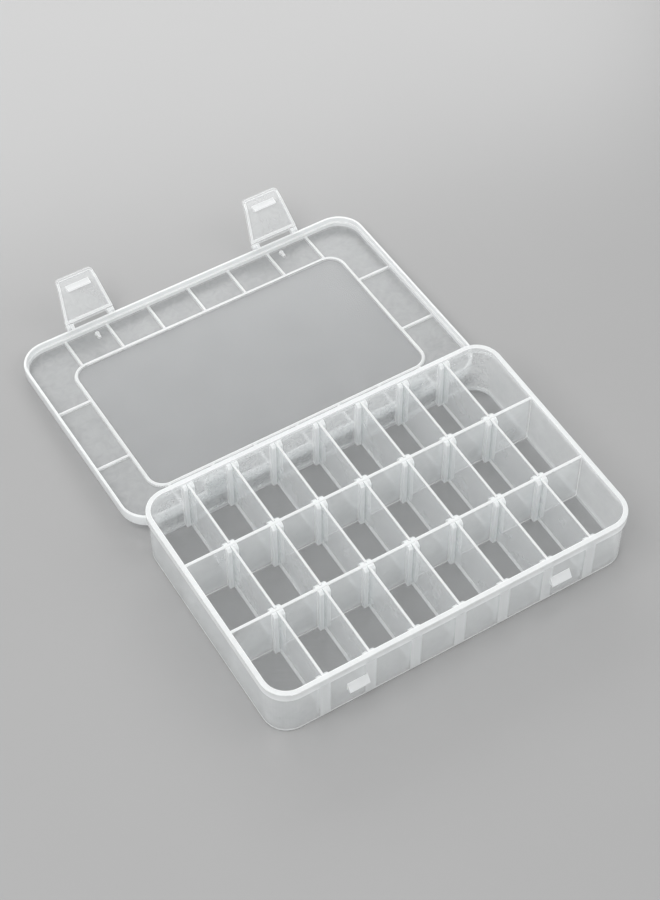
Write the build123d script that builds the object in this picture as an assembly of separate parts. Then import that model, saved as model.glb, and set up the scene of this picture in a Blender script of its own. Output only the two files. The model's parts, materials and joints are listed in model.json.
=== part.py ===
from build123d import *
import math
import os

# Bobbin box: a clear moulded tray with loose dividers, and a lid that hinges at the back and
# closes with two latches. Millimetres. X runs along the box, Y from front to back, Z up.
# The origin is the centre of the tray's underside. The lid is drawn closed, then swung open.

# Compartments
COLUMNS = 8
COLUMN_PITCH = 23.5
ROW_PITCH = 41.2
INNER_HALF_X = 93.8
INNER_HALF_Y = 60.8
INNER_CORNER = 10.8

# Tray
WALL = 1.3
PARTITION = 1.5
FLOOR = 1.4
RIM_TOP = 32.0
RIM_BAND = 5.0
RIM_STEP = 1.1
PARTITION_TOP = 31.2
BOTTOM_ROUND = 1.2
EDGE_ROUND = 0.4

# Slots that hold the dividers: a pair of upright ribs on each wall face
SLOT_WIDTH = 1.6
RIB_WIDTH = 1.95
RIB_DEPTH = 2.3
RIB_TOP = PARTITION_TOP - 0.5
RIB_SLOPE = 1.4

# Dividers
DIVIDER_THICK = 1.3
DIVIDER_END_GAP = 0.15
DIVIDER_FLOOR_GAP = 0.1
DIVIDER_CORNER = 1.5

# Lid, as it sits when closed
LID_GAP = 0.25
LID_SKIRT = 1.2
LID_PANEL = 1.2
LID_TOP = 36.0
SKIRT_LOW = 29.3
SEAT_WIDTH = 0.9
SEAT_GAP = 0.1
LID_EDGE_ROUND = 1.0
LINE_HEIGHT = 1.0
LINE_WIDTH = 1.4
RING_HALF_X = 77.3
RING_HALF_Y = 45.2
RING_MIDDLE_Y = 1.6
RING_CORNER = 8.5

# Drop-shaped bosses inside the lid, behind the latches
BOSS_Y = -59.6
BOSS_RADIUS = 1.1
BOSS_TAIL_Y = -56.4
BOSS_TAIL_HALF = 0.7

# Hinge at the back
HINGE_X = 54.0
HINGE_Y = 64.4
HINGE_Z = 21.0
PIN_RADIUS = 0.9
PIN_CLEARANCE = 0.05
CLIP_RADIUS = 1.95
CLIP_MOUTH_DEG = 100.0
CLIP_HALF_WIDTH = 5.0
HINGE_SIDE_GAP = 0.3
HINGE_LUG = 1.7
HINGE_LUG_FOOT = 3.0
ARM_THICK = 1.6
TABLE_GAP = 0.1

# Latches, as they hang when closed
LATCH_X = 54.0
LATCH_Z = 29.6
LATCH_HALF_BASE = 13.2
LATCH_HALF_TIP = 9.8
LATCH_LENGTH = 24.8
LATCH_NECK = 2.2
LATCH_PLATE = 1.2
LATCH_BORDER = 1.2
LATCH_BORDER_DEPTH = 0.8
LATCH_CORNER = 2.0
LATCH_FLARE = 1.4
LATCH_FLARE_HEIGHT = 5.6
TONGUE_DROP = 1.2
EAR_THICK = 1.5
EAR_RADIUS = 1.6
EAR_OVERLAP = 1.0
EAR_GAP = 0.25
LUG_RADIUS = 1.5
LUG_THICK = 1.8
LUG_RISE = 2.0
LUG_SKIRT_GAP = 0.2
LUG_CORNER_GAP = 0.3
LATCH_OPEN_DEG = 34.0
HOOK_HALF_X = 6.3
HOOK_REACH = 2.3
HOOK_NOSE = 0.7
HOOK_HEIGHT = 3.1

# Catches on the front wall
CATCH_HALF_X = 5.2
CATCH_LOW = 12.4
CATCH_HIGH = 17.0
CATCH_REACH = 2.6
CATCH_LIP = 0.8
HOOK_GAP = 0.3

# How far pieces of one body sink into each other, and cutters reach past what they cut
OVERLAP = 0.5
CUT_PAST = 1.0
SAME_HEIGHT = 1e-6

# Derived sizes
OUTER_HALF_X = INNER_HALF_X + WALL
OUTER_HALF_Y = INNER_HALF_Y + WALL
OUTER_CORNER = INNER_CORNER + WALL
RIM_HALF_X = OUTER_HALF_X + RIM_STEP
RIM_HALF_Y = OUTER_HALF_Y + RIM_STEP
RIM_CORNER = OUTER_CORNER + RIM_STEP
SKIRT_HALF_X = RIM_HALF_X + LID_GAP
SKIRT_HALF_Y = RIM_HALF_Y + LID_GAP
SKIRT_CORNER = RIM_CORNER + LID_GAP
LID_HALF_X = SKIRT_HALF_X + LID_SKIRT
LID_HALF_Y = SKIRT_HALF_Y + LID_SKIRT
LID_CORNER = SKIRT_CORNER + LID_SKIRT
PANEL_LOW = LID_TOP - LID_PANEL
SEAT_LOW = RIM_TOP + SEAT_GAP
LATCH_Y = -LID_HALF_Y - EAR_GAP - EAR_RADIUS
LATCH_OUTER = LATCH_Y - LATCH_PLATE / 2
LATCH_INNER = LATCH_Y + LATCH_PLATE / 2
LATCH_TOP = LATCH_Z - LATCH_NECK
LATCH_TIP = LATCH_Z - LATCH_LENGTH
LATCH_BEND = LATCH_TIP + LATCH_FLARE_HEIGHT
EAR_INNER = LATCH_HALF_BASE - EAR_THICK
LUG_OUTER = EAR_INNER - HINGE_SIDE_GAP
LUG_INNER = LUG_OUTER - LUG_THICK
PARTITION_Y = ROW_PITCH / 2
DIVIDER_X = [COLUMN_PITCH * (i - COLUMNS / 2) for i in range(1, COLUMNS)]
ROWS = {
    "front": (-INNER_HALF_Y, -PARTITION_Y - PARTITION / 2),
    "middle": (-PARTITION_Y + PARTITION / 2, PARTITION_Y - PARTITION / 2),
    "back": (PARTITION_Y + PARTITION / 2, INNER_HALF_Y),
}


def slab(half_x, half_y, corner, low, high):
    """A rounded rectangle, upright, from one height to another."""
    outline = RectangleRounded(2 * half_x, 2 * half_y, corner)
    return Pos(0, 0, low) * extrude(outline, amount=high - low)


def block(x, y, z):
    """A box from (low, high) pairs along each axis."""
    size = [high - low for low, high in (x, y, z)]
    centre = [(high + low) / 2 for low, high in (x, y, z)]
    return Pos(*centre) * Box(*size)


def rod(x, y, z, radius):
    """A cylinder along X, from x[0] to x[1]."""
    centre = Pos((x[0] + x[1]) / 2, y, z)
    return centre * Rot(0, 90, 0) * Cylinder(radius, x[1] - x[0])


def profile_x(points, x):
    """A solid whose outline lies in YZ, from x[0] to x[1]."""
    outline = Plane.YZ * make_face(Polyline(*points, close=True))
    return Pos(x[0], 0, 0) * extrude(outline, amount=x[1] - x[0])


def wider(x, margin):
    return (x[0] - margin, x[1] + margin)


def edges_at(shape, height):
    """The edges that lie flat at one height."""
    found = []
    for edge in shape.edges():
        box = edge.bounding_box()
        if max(abs(box.min.Z - height), abs(box.max.Z - height)) < SAME_HEIGHT:
            found.append(edge)
    return found


# Tray

def tray_shell():
    body = slab(OUTER_HALF_X, OUTER_HALF_Y, OUTER_CORNER, 0, RIM_TOP)
    body = fillet(edges_at(body, 0), BOTTOM_ROUND)
    band = slab(RIM_HALF_X, RIM_HALF_Y, RIM_CORNER, RIM_TOP - RIM_BAND, RIM_TOP)
    band = fillet(edges_at(band, RIM_TOP) + edges_at(band, RIM_TOP - RIM_BAND), EDGE_ROUND)
    hollow = slab(INNER_HALF_X, INNER_HALF_Y, INNER_CORNER, FLOOR, RIM_TOP + CUT_PAST)
    hollow = fillet(edges_at(hollow, FLOOR), FLOOR)
    return body + band - hollow


def partitions():
    half = INNER_HALF_X + WALL / 2
    walls = []
    for y in (-PARTITION_Y, PARTITION_Y):
        wall = block((-half, half), (y - PARTITION / 2, y + PARTITION / 2), (FLOOR / 2, PARTITION_TOP))
        walls.append(fillet(edges_at(wall, PARTITION_TOP), EDGE_ROUND))
    return walls


def slot_ribs():
    """Four ribs at each divider of each row: one each side of the divider, at both its ends."""
    inner = SLOT_WIDTH / 2
    outer = inner + RIB_WIDTH
    ribs = []
    for low_y, high_y in ROWS.values():
        for x in DIVIDER_X:
            for side_low, side_high in ((-outer, -inner), (inner, outer)):
                across = (x + side_low, x + side_high)
                ribs.append(slot_rib(across, low_y, 1))
                ribs.append(slot_rib(across, high_y, -1))
    return ribs


def slot_rib(across, face, way):
    """An upright rib on a wall's face, with its top sloped back towards the wall."""
    root = face - way * WALL / 2
    tip = face + way * RIB_DEPTH
    shoulder = tip - way * RIB_SLOPE
    points = [
        (root, FLOOR / 2),
        (tip, FLOOR / 2),
        (tip, RIB_TOP - RIB_SLOPE),
        (shoulder, RIB_TOP),
        (root, RIB_TOP),
    ]
    return profile_x(points, across)


def catches():
    """Wedges on the front wall, flat underneath so that each latch's hook holds below."""
    root = -OUTER_HALF_Y + WALL / 2
    face = -OUTER_HALF_Y
    tip = face - CATCH_REACH
    points = [
        (root, CATCH_LOW),
        (tip, CATCH_LOW),
        (tip, CATCH_LOW + CATCH_LIP),
        (face, CATCH_HIGH),
        (root, CATCH_HIGH),
    ]
    return [profile_x(points, (x - CATCH_HALF_X, x + CATCH_HALF_X)) for x in (-LATCH_X, LATCH_X)]


def hinge_stations():
    """Two lugs and the pin between them, at each hinge on the back wall."""
    root = OUTER_HALF_Y - WALL / 2
    low, high = HINGE_Z - CLIP_RADIUS, HINGE_Z + CLIP_RADIUS
    points = [(root, low - HINGE_LUG_FOOT), (root, high), (HINGE_Y, high), (HINGE_Y, low)]
    inner = CLIP_HALF_WIDTH + HINGE_SIDE_GAP
    outer = inner + HINGE_LUG
    pieces = []
    for centre in (-HINGE_X, HINGE_X):
        pin = wider((centre - inner, centre + inner), OVERLAP)
        pieces.append(rod(pin, HINGE_Y, HINGE_Z, PIN_RADIUS))
        for x in ((centre - outer, centre - inner), (centre + inner, centre + outer)):
            pieces.append(profile_x(points, x) + rod(x, HINGE_Y, HINGE_Z, CLIP_RADIUS))
    return pieces


def tray():
    whole = tray_shell()
    for group in (partitions(), slot_ribs(), catches(), hinge_stations()):
        whole = whole + group
    return whole


# Dividers

def divider(x, row):
    low_y, high_y = ROWS[row]
    y = (low_y + DIVIDER_END_GAP, high_y - DIVIDER_END_GAP)
    thick = (x - DIVIDER_THICK / 2, x + DIVIDER_THICK / 2)
    plate = block(thick, y, (FLOOR + DIVIDER_FLOOR_GAP, PARTITION_TOP))
    feet = [e for e in plate.edges().filter_by(Axis.X) if e.center().Z < PARTITION_TOP / 2]
    plate = chamfer(feet, DIVIDER_CORNER)
    return fillet(edges_at(plate, PARTITION_TOP), EDGE_ROUND)


# Lid

def lid_shell():
    cover = slab(LID_HALF_X, LID_HALF_Y, LID_CORNER, SKIRT_LOW, LID_TOP)
    cover = fillet(edges_at(cover, LID_TOP), LID_EDGE_ROUND)
    cover = fillet(edges_at(cover, SKIRT_LOW), EDGE_ROUND)
    socket = slab(SKIRT_HALF_X, SKIRT_HALF_Y, SKIRT_CORNER, SKIRT_LOW - CUT_PAST, SEAT_LOW)
    seat_x, seat_y = SKIRT_HALF_X - SEAT_WIDTH, SKIRT_HALF_Y - SEAT_WIDTH
    hollow = slab(seat_x, seat_y, SKIRT_CORNER - SEAT_WIDTH, SEAT_LOW - CUT_PAST, PANEL_LOW)
    hollow = fillet(edges_at(hollow, PANEL_LOW), EDGE_ROUND)
    return cover - socket - hollow


def lid_lines():
    """The raised ring inside the lid, and the short lines from it to the lid's edge."""
    low, high = PANEL_LOW - LINE_HEIGHT, PANEL_LOW + LID_PANEL / 2
    half = LINE_WIDTH / 2
    ring = slab(RING_HALF_X + half, RING_HALF_Y + half, RING_CORNER + half, low, high)
    ring = fillet(edges_at(ring, low), EDGE_ROUND)
    inside = slab(RING_HALF_X - half, RING_HALF_Y - half, RING_CORNER - half, low - CUT_PAST, high)
    lines = [Pos(0, RING_MIDDLE_Y, 0) * (ring - inside)]
    end_x = SKIRT_HALF_X - SEAT_WIDTH / 2
    end_y = SKIRT_HALF_Y - SEAT_WIDTH / 2
    for side in (-1, 1):
        for x in DIVIDER_X:
            y = sorted((RING_MIDDLE_Y + side * RING_HALF_Y, side * end_y))
            lines.append(line_bar((x - half, x + half), y, low, high))
        for row in (-PARTITION_Y, PARTITION_Y):
            x = sorted((side * RING_HALF_X, side * end_x))
            lines.append(line_bar(x, (row - half, row + half), low, high))
    return lines


def line_bar(x, y, low, high):
    bar = block(x, y, (low, high))
    return fillet(edges_at(bar, low), EDGE_ROUND)


def latch_bosses():
    """Small drop-shaped bosses inside the front edge, one behind each latch."""
    low, high = PANEL_LOW - LINE_HEIGHT, PANEL_LOW + LID_PANEL / 2
    bosses = []
    for x in (-LATCH_X, LATCH_X):
        drop = Pos(x, BOSS_Y, low) * extrude(Circle(BOSS_RADIUS), amount=high - low)
        tail = block((x - BOSS_TAIL_HALF, x + BOSS_TAIL_HALF), (BOSS_Y, BOSS_TAIL_Y), (low, high))
        bosses.append(drop + tail)
    return bosses


def latch_pins():
    """Lugs on the lid's front edge, each with a pin that a latch's ear turns on."""
    root = -SKIRT_HALF_Y - LID_SKIRT / 2
    low, high = LATCH_Z - LUG_RADIUS, LATCH_Z + LUG_RADIUS
    points = [
        (root, high + LUG_RISE),
        (root, SKIRT_LOW + LUG_SKIRT_GAP),
        (-LID_HALF_Y - LUG_CORNER_GAP, low),
        (LATCH_Y, low),
        (LATCH_Y, high),
    ]
    pieces = []
    for centre in (-LATCH_X, LATCH_X):
        for side in (-1, 1):
            lug = sorted((centre + side * LUG_INNER, centre + side * LUG_OUTER))
            pin = sorted((centre + side * (LUG_OUTER - OVERLAP), centre + side * LATCH_HALF_BASE))
            pieces.append(profile_x(points, lug) + rod(lug, LATCH_Y, LATCH_Z, LUG_RADIUS))
            pieces.append(rod(pin, LATCH_Y, LATCH_Z, PIN_RADIUS))
    return pieces


def hinge_arms():
    """Arms down from the lid's back edge, each ending in an open clip round the tray's pin."""
    face = SKIRT_HALF_Y
    bore_radius = PIN_RADIUS + PIN_CLEARANCE
    spread = CLIP_RADIUS * math.tan(math.radians(CLIP_MOUTH_DEG / 2))
    mouth_points = [
        (HINGE_Y, HINGE_Z),
        (HINGE_Y - spread, HINGE_Z - CLIP_RADIUS),
        (HINGE_Y + spread, HINGE_Z - CLIP_RADIUS),
    ]
    pieces = []
    for centre in (-HINGE_X, HINGE_X):
        x = (centre - CLIP_HALF_WIDTH, centre + CLIP_HALF_WIDTH)
        arm = block(x, (face, face + ARM_THICK), (HINGE_Z + bore_radius, PANEL_LOW))
        arm = fillet(edges_at(arm, PANEL_LOW), EDGE_ROUND)
        clip = rod(x, HINGE_Y, HINGE_Z, CLIP_RADIUS)
        bore = rod(wider(x, CUT_PAST), HINGE_Y, HINGE_Z, bore_radius)
        mouth = profile_x(mouth_points, wider(x, CUT_PAST))
        pieces.append(clip + arm - bore - mouth)
    return pieces


def closed_lid():
    whole = lid_shell()
    for group in (lid_lines(), latch_bosses(), latch_pins(), hinge_arms()):
        whole = whole + group
    return whole


# Latches

def latch_outline(centre):
    """The plate's tapered outline, seen from the front, with round corners at its tip."""
    corners = [
        (centre - LATCH_HALF_BASE, LATCH_TOP),
        (centre + LATCH_HALF_BASE, LATCH_TOP),
        (centre + LATCH_HALF_TIP, LATCH_TIP),
        (centre - LATCH_HALF_TIP, LATCH_TIP),
    ]
    outline = make_face(Polyline(*corners, close=True))
    return fillet(outline.vertices().sort_by(Axis.Y)[:2], LATCH_CORNER)


def upright(outline, near, far):
    """Stands an outline up in the XZ plane, from y = near back to y = far."""
    stand = Plane((0, far, 0), x_dir=(1, 0, 0), z_dir=(0, -1, 0))
    return stand * extrude(outline, amount=far - near)


def bent_strip(centre, outer, inner):
    """The room between two faces of the latch, which both flare outwards near its tip."""
    points = [
        (outer, LATCH_Z),
        (inner, LATCH_Z),
        (inner, LATCH_BEND),
        (inner - LATCH_FLARE, LATCH_TIP),
        (outer - LATCH_FLARE, LATCH_TIP),
        (outer, LATCH_BEND),
    ]
    return profile_x(points, wider((centre - LATCH_HALF_BASE, centre + LATCH_HALF_BASE), CUT_PAST))


def latch_plate(centre):
    border_face = LATCH_INNER + LATCH_BORDER_DEPTH
    near = LATCH_OUTER - LATCH_FLARE - CUT_PAST
    far = border_face + CUT_PAST
    outline = latch_outline(centre)
    plate = upright(outline, near, far) & bent_strip(centre, LATCH_OUTER, border_face)
    inside = upright(offset(outline, amount=-LATCH_BORDER), near, far)
    return plate - (inside & bent_strip(centre, LATCH_INNER, border_face + CUT_PAST))


def latch_hook(centre):
    """The ridge that holds under the tray's catch."""
    top = CATCH_LOW - HOOK_GAP
    tip = LATCH_INNER + HOOK_REACH
    points = [(LATCH_Y, top), (tip, top), (tip, top - HOOK_NOSE), (LATCH_Y, top - HOOK_HEIGHT)]
    return profile_x(points, (centre - HOOK_HALF_X, centre + HOOK_HALF_X))


def latch_tongue(centre):
    """The plate's round-edged middle, which fills the gap between the lid's two lugs."""
    half = LUG_INNER - HINGE_SIDE_GAP
    x = (centre - half, centre + half)
    edge = LATCH_Z - TONGUE_DROP
    web = block(x, (LATCH_OUTER, LATCH_INNER), (LATCH_TOP - EAR_OVERLAP, edge))
    return web + rod(x, LATCH_Y, edge, LATCH_PLATE / 2)


def latch_ear(centre, side):
    x = sorted((centre + side * EAR_INNER, centre + side * LATCH_HALF_BASE))
    neck = block(x, (LATCH_OUTER, LATCH_INNER), (LATCH_TOP - EAR_OVERLAP, LATCH_Z))
    hole = rod(wider(x, CUT_PAST), LATCH_Y, LATCH_Z, PIN_RADIUS + PIN_CLEARANCE)
    return neck + rod(x, LATCH_Y, LATCH_Z, EAR_RADIUS) - hole


def closed_latch(centre):
    """A tapered plate with a raised border and a flared tip, a hook, and ears on the lid's pins."""
    whole = latch_plate(centre) + latch_hook(centre) + latch_tongue(centre)
    return whole + latch_ear(centre, -1) + latch_ear(centre, 1)


# Opening

def lid_open_angle():
    """The swing from closed until the rounded front edge is just above the table."""
    arm_y = HINGE_Y + LID_HALF_Y - LID_EDGE_ROUND
    arm_z = LID_TOP - LID_EDGE_ROUND - HINGE_Z
    drop = HINGE_Z - LID_EDGE_ROUND - TABLE_GAP
    reach = math.hypot(arm_y, arm_z)
    past_flat = math.asin(drop / reach) - math.atan2(arm_z, arm_y)
    return 180.0 + math.degrees(past_flat)


HINGE_AXIS = Axis((0, HINGE_Y, HINGE_Z), (1, 0, 0))
LATCH_AXIS = Axis((0, LATCH_Y, LATCH_Z), (1, 0, 0))


def swing_open(shape):
    return shape.rotate(HINGE_AXIS, -lid_open_angle())


def latch(centre):
    return swing_open(closed_latch(centre).rotate(LATCH_AXIS, -LATCH_OPEN_DEG))


def save(shape, node):
    export_step(shape, f"parts/{node}.step")


def main():
    os.makedirs("parts", exist_ok=True)
    save(tray(), "tray")
    save(swing_open(closed_lid()), "lid")
    save(latch(-LATCH_X), "latch_left")
    save(latch(LATCH_X), "latch_right")
    for row in ROWS:
        for number, x in enumerate(DIVIDER_X, start=1):
            save(divider(x, row), f"divider_{row}_{number}")
    print("lid swing, degrees:", round(lid_open_angle(), 4))


main()
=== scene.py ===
"""Looks of the bobbin box: clear frosted plastic, on a plain pale floor. Metres, in the CAD frame."""

import math

import bpy
from mathutils import Matrix, Vector
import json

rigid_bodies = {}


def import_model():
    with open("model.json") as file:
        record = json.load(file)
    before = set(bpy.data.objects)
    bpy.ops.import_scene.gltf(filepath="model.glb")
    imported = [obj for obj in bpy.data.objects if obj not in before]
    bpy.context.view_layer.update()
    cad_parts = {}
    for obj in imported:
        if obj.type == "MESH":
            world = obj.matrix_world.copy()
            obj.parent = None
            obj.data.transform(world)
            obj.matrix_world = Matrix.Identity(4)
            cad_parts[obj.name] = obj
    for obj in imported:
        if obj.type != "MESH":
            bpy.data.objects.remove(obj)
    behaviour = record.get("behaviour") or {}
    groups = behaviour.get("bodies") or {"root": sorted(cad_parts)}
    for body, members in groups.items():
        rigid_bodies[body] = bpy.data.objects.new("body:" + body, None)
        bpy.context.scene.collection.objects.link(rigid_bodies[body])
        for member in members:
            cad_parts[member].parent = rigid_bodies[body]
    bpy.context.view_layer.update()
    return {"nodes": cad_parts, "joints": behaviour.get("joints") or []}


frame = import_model()

# Camera: in front and to the left of the box, looking down into the cells
CAMERA_AZIMUTH = -31.3
CAMERA_ELEVATION = 52.0
CAMERA_DISTANCE = 0.995
CAMERA_TARGET = (0.0020, 0.0532, 0.016)
CAMERA_LENS = 83.7
SENSOR = 36.0

# Studio
LIGHTS_TARGET = (0, 0.06, 0)
WORLD_GREY = 1.0
WORLD_STRENGTH = 0.72
FLOOR_SIZE = 12
FLOOR_GREYS = (0.290, 0.298)
FLOOR_CLOUDS = 14.0
FLOOR_ROUGHNESS = 0.22

# Places in the closed box, which tell thick, milky plastic from thin
COLUMN_PITCH = 0.0235
COLUMNS = 8
RIB_HALF_BAND = 0.0029
RIB_REACH = 0.0026
PARTITION_Y = 0.0206
PARTITION_HALF = 0.00075
WALL = 0.0013
INNER_HALF_Y = 0.0608
OUTER_HALF_X = 0.0951
OUTER_HALF_Y = INNER_HALF_Y + WALL
OUTER_CORNER = 0.0121
RIM_LOW = 0.0268
RING_HALF_X = 0.0773
RING_FRONT_Y = -0.0436
RING_BACK_Y = 0.0468
PANEL_LOW = 0.0348
LATCH_INNER_Y = -0.0659
# Width of the tray's bottom edge that is made milky as a painted highlight
EDGE_BAND = 0.0013
SMALL = 0.0001
LID_SMALL = 0.0003

# Colours of the milky part, of its whiter edges (a painted highlight), and of what is seen
# through it, darker through the tray's base as painted shade
BODY_WHITE = (0.90, 0.912, 0.915, 1)
HIGHLIGHT_WHITE = (0.985, 0.99, 0.99, 1)
CLEAR = (0.965, 0.97, 0.972, 1)
# Darker tint of what is seen through the tray's base: painted shade for the cells' floors
BASE_SHADE_TINT = (0.77, 0.776, 0.778, 1)
DIM_LID = (0.86, 0.865, 0.868, 1)

# The noises' scales, and the range that a noise mostly keeps to
BROAD_CLOUDS = 55.0
PATCHES = 190.0
PATCH_TWIST = 1.2
GRAIN = 2600.0
GRAIN_DETAIL = 2.0
GRAIN_HEIGHT = 0.0002
NOISE_LOW = 0.3
NOISE_HIGH = 0.7

# Milkiness that is added at edges (partly denser plastic, partly a painted highlight), at a slant,
# where thick plastic shows through a wall, and at the walls' foot as a painted highlight line
EDGE_RADIUS = 0.0008
EDGE_SAMPLES = 6
EDGE_GAIN = 6.0
EDGE_HIGHLIGHT_MILK = 0.65
SLANT_POWER = 3.0
SLANT_MILK = 0.30
SHOWN_AND_HIGHLIGHT_MILK = 0.70
BAND_FADE_START = RIB_HALF_BAND - 0.0006
BAND_FADE_END = RIB_HALF_BAND + 0.0002
# Heights where the painted highlight line at the walls' foot fades out
FOOT_HIGHLIGHT_START = 0.0018
FOOT_HIGHLIGHT_END = 0.0024

# The wavy back wall: where its mottling starts and is full, and how strong it is
WAVES_START_Y = INNER_HALF_Y - 0.009
WAVES_FULL_Y = INNER_HALF_Y - 0.003
WAVY_MOTTLE = 0.08

# Gloss
REFRACTION = 1.49
ROUGH_SPREAD = 0.6
MIRROR_POWER = 5.0
MIRROR_STRAIGHT = 0.035
MIRROR_SLANTING = 0.60

HINGES = {joint["child"]: joint for joint in frame["joints"] if joint["type"] == "hinge"}


# Camera and lights

def direction(azimuth, elevation):
    """The unit vector from the object towards a place round it."""
    a, e = math.radians(azimuth), math.radians(elevation)
    return Vector((math.sin(a) * math.cos(e), -math.cos(a) * math.cos(e), math.sin(e)))


def aim(thing, target, back, distance):
    """Puts a camera or a light at a distance from the target, along back, and turns it to face it."""
    thing.location = Vector(target) + back * distance
    thing.rotation_mode = "QUATERNION"
    thing.rotation_quaternion = (-back).to_track_quat("-Z", "Y")
    bpy.context.scene.collection.objects.link(thing)


def make_camera():
    data = bpy.data.cameras.new("camera")
    data.sensor_width = SENSOR
    data.lens = CAMERA_LENS
    camera = bpy.data.objects.new("camera", data)
    aim(camera, CAMERA_TARGET, direction(CAMERA_AZIMUTH, CAMERA_ELEVATION), CAMERA_DISTANCE)
    bpy.context.scene.camera = camera


def area_light(name, azimuth, elevation, distance, size, power):
    data = bpy.data.lights.new(name, "AREA")
    data.shape = "RECTANGLE"
    data.size, data.size_y = size
    data.energy = power
    light = bpy.data.objects.new(name, data)
    aim(light, LIGHTS_TARGET, direction(azimuth, elevation), distance)


def make_world():
    world = bpy.data.worlds.new("studio")
    world.use_nodes = True
    sky = world.node_tree.nodes["Background"]
    sky.inputs["Color"].default_value = (WORLD_GREY, WORLD_GREY, WORLD_GREY, 1)
    sky.inputs["Strength"].default_value = WORLD_STRENGTH
    bpy.context.scene.world = world


# Materials

class Nodes:
    """A material's node tree, with short ways to add to it."""

    def __init__(self, name):
        self.material = bpy.data.materials.new(name)
        self.material.use_nodes = True
        self.tree = self.material.node_tree
        self.tree.nodes.clear()

    def put(self, socket, value):
        """Links another node's output to a socket, or sets the socket to a plain value."""
        if hasattr(value, "is_output"):
            self.tree.links.new(value, socket)
        else:
            socket.default_value = value

    def add(self, kind, **inputs):
        node = self.tree.nodes.new("ShaderNode" + kind)
        for key, value in inputs.items():
            self.put(node.inputs[key.replace("_", " ")], value)
        return node

    def math(self, operation, a, b=0.0, clamp=False):
        node = self.tree.nodes.new("ShaderNodeMath")
        node.operation = operation
        node.use_clamp = clamp
        self.put(node.inputs[0], a)
        self.put(node.inputs[1], b)
        return node.outputs[0]

    def ramp(self, factor, low, high, start=0.0, end=1.0):
        """Carries start..end of a factor to low..high."""
        node = self.tree.nodes.new("ShaderNodeMapRange")
        names = ("Value", "From Min", "From Max", "To Min", "To Max")
        for name, value in zip(names, (factor, start, end, low, high)):
            self.put(node.inputs[name], value)
        return node.outputs[0]

    def noise(self, scale, detail=3.0, distortion=0.0):
        where = self.add("TexCoord").outputs["Object"]
        node = self.add("TexNoise", Vector=where, Scale=scale, Detail=detail, Distortion=distortion)
        return node.outputs["Fac"]

    def swing(self, noise):
        """A noise carried to about -1..1."""
        return self.ramp(noise, -1.0, 1.0, NOISE_LOW, NOISE_HIGH)

    def place(self):
        """Object coordinates, as x, y and z."""
        node = self.add("SeparateXYZ", Vector=self.add("TexCoord").outputs["Object"])
        return node.outputs

    def level(self):
        """1 where the surface lies flat in the closed box, 0 where it stands upright."""
        node = self.add("SeparateXYZ", Vector=self.add("TexCoord").outputs["Normal"])
        return self.math("ABSOLUTE", node.outputs[2])

    def painted_edge_highlight(self):
        """0 on flat faces, up to 1 where a rounded or sharp edge bends the surface: the mask of the
        edges' whiter, milkier look, partly denser plastic and partly a painted highlight.
        """
        soft = self.add("Bevel", Radius=EDGE_RADIUS)
        soft.samples = EDGE_SAMPLES
        sharp = self.add("NewGeometry").outputs["True Normal"]
        dot = self.tree.nodes.new("ShaderNodeVectorMath")
        dot.operation = "DOT_PRODUCT"
        self.tree.links.new(soft.outputs[0], dot.inputs[0])
        self.tree.links.new(sharp, dot.inputs[1])
        bend = self.math("SUBTRACT", 1.0, dot.outputs["Value"], clamp=True)
        return self.math("MULTIPLY", bend, EDGE_GAIN, clamp=True)

    def mix(self, factor, first, second):
        node = self.add("MixShader", Fac=factor)
        self.tree.links.new(first.outputs[0], node.inputs[1])
        self.tree.links.new(second.outputs[0], node.inputs[2])
        return node

    def finish(self, shader):
        out = self.add("OutputMaterial")
        self.tree.links.new(shader.outputs[0], out.inputs["Surface"])
        return self.material


def rib_shadow(n):
    """1 on the front and back walls where the slots' ribs stand behind them, else 0."""
    x, y = n.place()[:2]
    from_rib = n.math("PINGPONG", x, COLUMN_PITCH / 2)
    band = n.ramp(from_rib, 1.0, 0.0, BAND_FADE_START, BAND_FADE_END)
    on_wall = n.math("GREATER_THAN", n.math("ABSOLUTE", y), OUTER_HALF_Y - SMALL)
    between = n.math("LESS_THAN", n.math("ABSOLUTE", x), COLUMN_PITCH * (COLUMNS - 1) / 2)
    return n.math("MULTIPLY", n.math("MULTIPLY", band, on_wall), between)


def foot_highlight(n):
    """1 along the foot of the walls, a painted highlight line, partly the floor's edge showing
    through; else 0.
    """
    return n.ramp(n.place()[2], 1.0, 0.0, FOOT_HIGHLIGHT_START, FOOT_HIGHLIGHT_END)


def shown_through_and_highlight(n):
    """The milkiness of the ribs that show through the tray's upright walls, with the painted
    highlight line at their foot.
    """
    shown_and_highlight = n.math("MULTIPLY", n.math("ADD", rib_shadow(n), foot_highlight(n)), SHOWN_AND_HIGHLIGHT_MILK)
    return n.math("MULTIPLY", shown_and_highlight, n.math("SUBTRACT", 1.0, n.level()))


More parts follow.
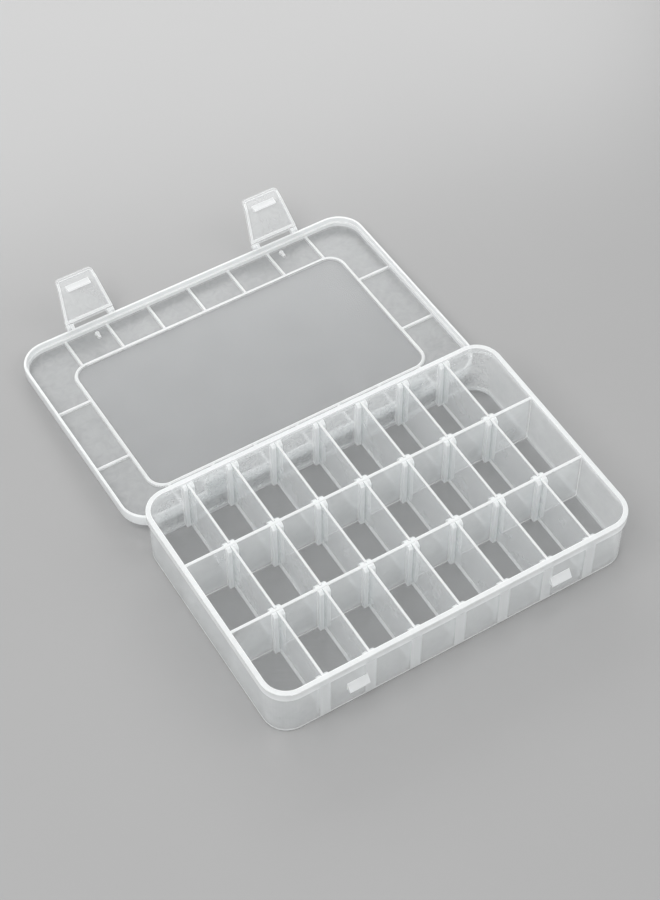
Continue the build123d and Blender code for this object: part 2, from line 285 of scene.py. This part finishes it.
def clear_plastic(name, upright, level, cloud=0.03, mottle=0.02, roughness=0.24, grain=0.10,
                  window=CLEAR, tray_wall=False):
    """Milky clear plastic: see-through faces, clouded unevenly, with denser edges that carry a
    painted highlight.

    upright and level are how milky the standing and the lying faces are, from 0 to 1.
    cloud and mottle are how far broad and small patches change that, and window is the tint
    of what is seen through. tray_wall adds what only the tray's thin faces have: a wavy back
    wall, ribs that show through, a painted highlight line along the walls' foot, and a darker
    tint through the base, which is painted shade for the cells' floors.
    """
    n = Nodes(name)
    broad = n.swing(n.noise(BROAD_CLOUDS))
    patches = n.swing(n.noise(PATCHES, distortion=PATCH_TWIST))
    fine = n.noise(GRAIN, GRAIN_DETAIL)
    # Mask of the edges' painted highlight
    highlit_edges = n.painted_edge_highlight()
    facing = n.add("LayerWeight", Blend=0.5).outputs["Facing"]

    milk_and_highlight = n.ramp(n.level(), upright, level)
    if tray_wall:
        mottle = n.ramp(n.place()[1], mottle, WAVY_MOTTLE, WAVES_START_Y, WAVES_FULL_Y)
        # Ribs that show through, and the painted highlight line at the walls' foot
        milk_and_highlight = n.math("ADD", milk_and_highlight, shown_through_and_highlight(n))
        # Level faces, the base, see through a darker tint: painted shade for the cells' floors
        window = n.add("MixRGB", Color1=CLEAR, Color2=BASE_SHADE_TINT, Fac=n.level()).outputs[0]
    milk_and_highlight = n.math("ADD", milk_and_highlight, n.math("MULTIPLY", broad, cloud))
    milk_and_highlight = n.math("ADD", milk_and_highlight, n.math("MULTIPLY", patches, mottle))
    milk_and_highlight = n.math("ADD", milk_and_highlight, n.math("MULTIPLY", n.math("POWER", facing, SLANT_POWER), SLANT_MILK))
    # Edges are made milkier: partly denser plastic, partly a painted highlight
    milk_and_highlight = n.math("ADD", milk_and_highlight, n.math("MULTIPLY", highlit_edges, EDGE_HIGHLIGHT_MILK), clamp=True)

    # Edges are made whiter: a painted highlight
    tone = n.add("MixRGB", Color1=BODY_WHITE, Color2=HIGHLIGHT_WHITE, Fac=highlit_edges).outputs[0]
    rough = n.ramp(fine, roughness - ROUGH_SPREAD * grain, roughness + ROUGH_SPREAD * grain)
    bump = n.add("Bump", Height=fine, Strength=grain, Distance=GRAIN_HEIGHT).outputs[0]
    front = n.add("BsdfPrincipled", Base_Color=tone, Roughness=rough, IOR=REFRACTION, Normal=bump)
    through = n.add("BsdfTranslucent", Color=tone, Normal=bump)
    body = n.mix(milk_and_highlight, n.add("BsdfTransparent", Color=window), n.mix(0.5, front, through))
    shine = n.add("BsdfGlossy", Color=HIGHLIGHT_WHITE, Roughness=rough, Normal=bump)
    mirror = n.ramp(n.math("POWER", facing, MIRROR_POWER), MIRROR_STRAIGHT, MIRROR_SLANTING)
    return n.finish(n.mix(mirror, body, shine))


def floor_material():
    n = Nodes("floor")
    grey = n.ramp(n.noise(FLOOR_CLOUDS, detail=2.0), *FLOOR_GREYS)
    tone = n.add("CombineColor", Red=grey, Green=grey, Blue=grey).outputs[0]
    return n.finish(n.add("BsdfPrincipled", Base_Color=tone, Roughness=FLOOR_ROUGHNESS))


def make_floor():
    bpy.ops.mesh.primitive_plane_add(size=FLOOR_SIZE)
    floor = bpy.context.object
    floor.name = "floor"
    floor.data.materials.append(floor_material())


# Which of a node's faces take which material

def paint(node, *materials):
    """Gives a node its materials, all on the first until some faces are moved to another."""
    data = frame["nodes"][node].data
    data.materials.clear()
    for material in materials:
        data.materials.append(material)
    for polygon in data.polygons:
        polygon.use_smooth = True
        polygon.material_index = 0


def closed_place(node, point):
    """Where a point of a node comes to when the lid and the latches are shut."""
    body = node
    while body in HINGES:
        joint = HINGES[body]
        turn = Matrix.Rotation(math.radians(joint["range_deg"][0]), 3, Vector(joint["axis"]))
        pivot = Vector(joint["pos_m"])
        point = pivot + turn @ (point - pivot)
        body = joint["parent"]
    return point


def centre_of(corners):
    return sum(corners, Vector()) / len(corners)


def in_slot_band(point):
    """Whether a point of the tray is on a divider slot's ribs, or between them."""
    column = round(point.x / COLUMN_PITCH)
    if abs(column) >= COLUMNS / 2 or abs(point.x - column * COLUMN_PITCH) > RIB_HALF_BAND:
        return False
    y = abs(point.y)
    near_partition = abs(y - PARTITION_Y) < PARTITION_HALF + RIB_REACH
    near_wall = INNER_HALF_Y - RIB_REACH < y < INNER_HALF_Y + SMALL
    return near_partition or near_wall


def past_wall(point):
    """How far a point of the tray is outside its walls, whose corners are round."""
    across = abs(point.x) - (OUTER_HALF_X - OUTER_CORNER)
    along = abs(point.y) - (OUTER_HALF_Y - OUTER_CORNER)
    if min(across, along) < 0:
        return max(across, along) - OUTER_CORNER
    return math.hypot(across, along) - OUTER_CORNER


def is_thick_or_highlit(point):
    """Whether a point of the tray is past its walls, at the rim, on a slot, or at the bottom edge,
    which is made milky as a painted highlight.
    """
    bottom_edge_highlight = point.z < EDGE_BAND and past_wall(point) > -EDGE_BAND
    return past_wall(point) > SMALL or point.z > RIM_LOW or bottom_edge_highlight or in_slot_band(point)


def tray_slot(corners):
    """2 on the rim's outer band, 1 on what else is thick or stands out and on the bottom edge's
    painted highlight, and 0 on thin walls.
    """
    middle = centre_of(corners)
    stands_out = past_wall(middle) > SMALL
    if stands_out and middle.z > RIM_LOW:
        return 2
    return 1 if stands_out or all(is_thick_or_highlit(point) for point in corners + [middle]) else 0


def lid_slot(corners):
    """0 on the panel's clear faces, 1 on what stands on it, 2 on its frosted border inside."""
    middle = centre_of(corners)
    if middle.z < PANEL_LOW - LID_SMALL:
        return 1
    bordering = abs(middle.x) > RING_HALF_X or not RING_FRONT_Y < middle.y < RING_BACK_Y
    return 2 if bordering and middle.z < PANEL_LOW + LID_SMALL else 0


def latch_slot(corners):
    """1 on the latch's raised border and hook, else 0."""
    return 1 if centre_of(corners).y > LATCH_INNER_Y + SMALL else 0


def mark_faces(node, slot_of):
    """Moves each face to the material slot that its place in the closed box calls for."""
    data = frame["nodes"][node].data
    places = [closed_place(node, vertex.co) for vertex in data.vertices]
    for polygon in data.polygons:
        polygon.material_index = slot_of([places[v] for v in polygon.vertices])


def paint_tray():
    thin = clear_plastic("tray_plastic", upright=0.28, level=0.05, mottle=0.01, tray_wall=True)
    thick = clear_plastic("tray_plastic_thick", upright=0.95, level=0.90)
    band = clear_plastic("tray_plastic_rim", upright=0.58, level=0.90)
    paint("tray", thin, thick, band)
    mark_faces("tray", tray_slot)


def paint_lid():
    thin = clear_plastic("lid_plastic", upright=0.16, level=0.16, cloud=0.015, mottle=0.0,
                         roughness=0.22, grain=0.0, window=DIM_LID)
    thick = clear_plastic("lid_plastic_thick", upright=0.90, level=0.85, roughness=0.2)
    border = clear_plastic("lid_plastic_frosted", upright=0.26, level=0.26, mottle=0.03,
                           roughness=0.30, grain=0.06, window=DIM_LID)
    paint("lid", thin, thick, border)
    mark_faces("lid", lid_slot)


def paint_dividers_and_latches():
    divider = clear_plastic("divider_plastic", upright=0.22, level=0.90, mottle=0.01)
    latch_thin = clear_plastic("latch_plastic", upright=0.30, level=0.30, mottle=0.04)
    latch_thick = clear_plastic("latch_plastic_thick", upright=0.85, level=0.85)
    for name in frame["nodes"]:
        if name.startswith("divider"):
            paint(name, divider)
        elif name.startswith("latch"):
            paint(name, latch_thin, latch_thick)
            mark_faces(name, latch_slot)


make_camera()
make_world()
area_light("key", azimuth=-75, elevation=60, distance=1.6, size=(1.2, 0.9), power=17)
area_light("fill", azimuth=55, elevation=45, distance=1.8, size=(1.2, 1.0), power=7)
area_light("rim", azimuth=165, elevation=32, distance=1.5, size=(1.6, 0.5), power=9)
make_floor()
paint_tray()
paint_lid()
paint_dividers_and_latches()

# Plain colours, and enough bounces to see through many clear walls
scene = bpy.context.scene
scene.view_settings.view_transform = "Standard"
scene.cycles.transparent_max_bounces = 64
scene.cycles.max_bounces = 16
